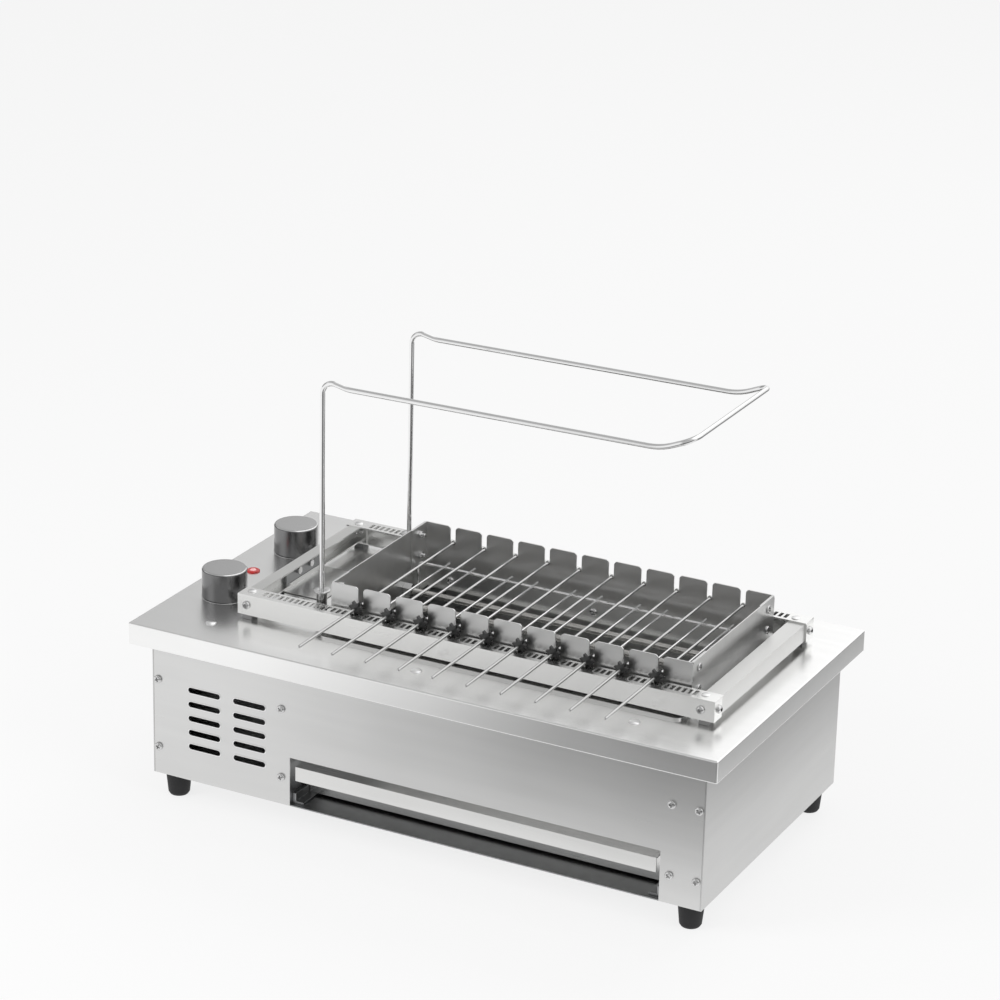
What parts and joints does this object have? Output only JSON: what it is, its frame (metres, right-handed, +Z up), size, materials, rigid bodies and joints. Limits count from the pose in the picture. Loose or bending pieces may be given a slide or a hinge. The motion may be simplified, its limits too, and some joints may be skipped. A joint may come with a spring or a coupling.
{
  "type": "electric skewer grill",
  "caption": "Countertop electric skewer grill: notched firebox, star-wheel skewers turned by a sliding slotted frame, lift-out wire rack and a drip drawer.",
  "frame": {"origin": "on the surface that the grill stands on, under the middle of its plan box", "axes": "+X to the right, -Y to the front with the drawer and the skewers' ends, +Z up"},
  "size_m": [0.6, 0.362, 0.4332],
  "materials": {
    "plate_sheet": "polished along its length",
    "case_sheet": "brushed, satin",
    "inner_sheet": "plain rolled, dull",
    "drawer_sheet": "brushed, satin",
    "well_sheet": "satin",
    "firebox_sheet": "satin",
    "rail_sheet": "polished",
    "skewer_steel": "polished",
    "bright_wire": "bright",
    "screw_steel": "turned, bright",
    "socket_steel": "turned",
    "heater_tube": "satin, dulled by heat",
    "knob_metal": "turned and dark anodised",
    "lamp_plastic": "gloss",
    "lamp_glass": "clear red",
    "rubber": "matt",
    "black_plastic": "matt",
    "white_ceramic": "matt, ceramic-like",
    "motor_paint": "grey paint",
    "crank_steel": "turned",
    "roller_brass": "turned"
  },
  "bodies": {
    "case": {"top_plate": "plate_sheet", "left_side": "case_sheet", "right_side": "case_sheet", "front_panel": "case_sheet", "rear_panel": "case_sheet", "base_pan": "inner_sheet", "left_partition": "inner_sheet", "right_partition": "inner_sheet", "motor_bracket": "inner_sheet", "drawer_guides": "inner_sheet", "fire_well": "well_sheet", "firebox_front": "firebox_sheet", "firebox_rear": "firebox_sheet", "firebox_left": "firebox_sheet", "firebox_right": "firebox_sheet", "grill_net": "bright_wire", "firebox_screws": "screw_steel", "well_screws": "screw_steel", "case_screws": "screw_steel", "plate_rivets": "screw_steel", "socket_washers": "screw_steel", "rack_sockets": "socket_steel", "element_fittings": "socket_steel", "heating_element": "heater_tube", "element_bends": "heater_tube", "lamp_bezel": "lamp_plastic", "lamp_lens": "lamp_glass", "rubber_feet": "rubber", "cable_gland": "black_plastic", "motor_switch": "black_plastic", "thermostat": "white_ceramic", "terminal_block": "white_ceramic", "gearmotor": "motor_paint"},
    "frame": {"frame_front_rail": "rail_sheet", "frame_rear_rail": "rail_sheet", "frame_left_rail": "rail_sheet", "frame_right_rail": "rail_sheet", "frame_bolts": "screw_steel", "frame_rivets": "screw_steel", "drive_yoke": "inner_sheet", "yoke_bolts": "screw_steel", "glide_pads": "black_plastic"},
    "crank": {"crank": "crank_steel", "crank_roller": "roller_brass"},
    "drawer": {"drip_drawer": "drawer_sheet"},
    "knob_front": {"knob_front": "knob_metal", "switch_shaft": "screw_steel"},
    "knob_rear": {"knob_rear": "knob_metal", "thermostat_shaft": "screw_steel"},
    "rack": {"wire_rack": "bright_wire"},
    "skewer_01": {"skewer_01": "skewer_steel"},
    "skewer_02": {"skewer_02": "skewer_steel"},
    "skewer_03": {"skewer_03": "skewer_steel"},
    "skewer_04": {"skewer_04": "skewer_steel"},
    "skewer_05": {"skewer_05": "skewer_steel"},
    "skewer_06": {"skewer_06": "skewer_steel"},
    "skewer_07": {"skewer_07": "skewer_steel"},
    "skewer_08": {"skewer_08": "skewer_steel"},
    "skewer_09": {"skewer_09": "skewer_steel"},
    "skewer_10": {"skewer_10": "skewer_steel"}
  },
  "joints": [
    {"name": "frame_slide", "type": "slide", "parent": "case", "child": "frame", "axis": [1, 0, 0], "range_m": [-0.009, 0.03]},
    {"name": "crank_turn", "type": "hinge", "parent": "case", "child": "crank", "pos_m": [-0.18984, 0.0203, 0.144], "axis": [0, 0, -1], "range_deg": [-32, 105]},
    {"name": "drawer_slide", "type": "slide", "parent": "case", "child": "drawer", "axis": [0, -1, 0], "range_m": [0, 0.22]},
    {"name": "knob_front_turn", "type": "hinge", "parent": "case", "child": "knob_front", "pos_m": [-0.2573, -0.052, 0.19], "axis": [0, 0, -1], "range_deg": [0, 90]},
    {"name": "knob_rear_turn", "type": "hinge", "parent": "case", "child": "knob_rear", "pos_m": [-0.2573, 0.08, 0.19], "axis": [0, 0, -1], "range_deg": [0, 300]},
    {"name": "rack_lift", "type": "slide", "parent": "case", "child": "rack", "axis": [0, 0, 1], "range_m": [0, 0.18]},
    {"name": "skewer_01_turn", "type": "hinge", "parent": "case", "child": "skewer_01", "pos_m": [-0.09948, 0.0203, 0.2097], "axis": [0, 1, 0], "range_deg": [-274, 83]},
    {"name": "skewer_02_turn", "type": "hinge", "parent": "case", "child": "skewer_02", "pos_m": [-0.06564, 0.0203, 0.2097], "axis": [0, 1, 0], "range_deg": [-274, 83]},
    {"name": "skewer_03_turn", "type": "hinge", "parent": "case", "child": "skewer_03", "pos_m": [-0.0318, 0.0203, 0.2097], "axis": [0, 1, 0], "range_deg": [-274, 83]},
    {"name": "skewer_04_turn", "type": "hinge", "parent": "case", "child": "skewer_04", "pos_m": [0.00204, 0.0203, 0.2097], "axis": [0, 1, 0], "range_deg": [-274, 83]},
    {"name": "skewer_05_turn", "type": "hinge", "parent": "case", "child": "skewer_05", "pos_m": [0.03588, 0.0203, 0.2097], "axis": [0, 1, 0], "range_deg": [-274, 83]},
    {"name": "skewer_06_turn", "type": "hinge", "parent": "case", "child": "skewer_06", "pos_m": [0.06972, 0.0203, 0.2097], "axis": [0, 1, 0], "range_deg": [-274, 83]},
    {"name": "skewer_07_turn", "type": "hinge", "parent": "case", "child": "skewer_07", "pos_m": [0.10356, 0.0203, 0.2097], "axis": [0, 1, 0], "range_deg": [-274, 83]},
    {"name": "skewer_08_turn", "type": "hinge", "parent": "case", "child": "skewer_08", "pos_m": [0.1374, 0.0203, 0.2097], "axis": [0, 1, 0], "range_deg": [-274, 83]},
    {"name": "skewer_09_turn", "type": "hinge", "parent": "case", "child": "skewer_09", "pos_m": [0.17124, 0.0203, 0.2097], "axis": [0, 1, 0], "range_deg": [-274, 83]},
    {"name": "skewer_10_turn", "type": "hinge", "parent": "case", "child": "skewer_10", "pos_m": [0.20508, 0.0203, 0.2097], "axis": [0, 1, 0], "range_deg": [-274, 83]}
  ],
  "couplings": [
    {"joint": "crank_turn", "follows": "frame_slide", "rad_per_m": 60.79},
    {"joint": "skewer_01_turn", "follows": "frame_slide", "rad_per_m": -159.15},
    {"joint": "skewer_02_turn", "follows": "frame_slide", "rad_per_m": -159.15},
    {"joint": "skewer_03_turn", "follows": "frame_slide", "rad_per_m": -159.15},
    {"joint": "skewer_04_turn", "follows": "frame_slide", "rad_per_m": -159.15},
    {"joint": "skewer_05_turn", "follows": "frame_slide", "rad_per_m": -159.15},
    {"joint": "skewer_06_turn", "follows": "frame_slide", "rad_per_m": -159.15},
    {"joint": "skewer_07_turn", "follows": "frame_slide", "rad_per_m": -159.15},
    {"joint": "skewer_08_turn", "follows": "frame_slide", "rad_per_m": -159.15},
    {"joint": "skewer_09_turn", "follows": "frame_slide", "rad_per_m": -159.15},
    {"joint": "skewer_10_turn", "follows": "frame_slide", "rad_per_m": -159.15}
  ]
}
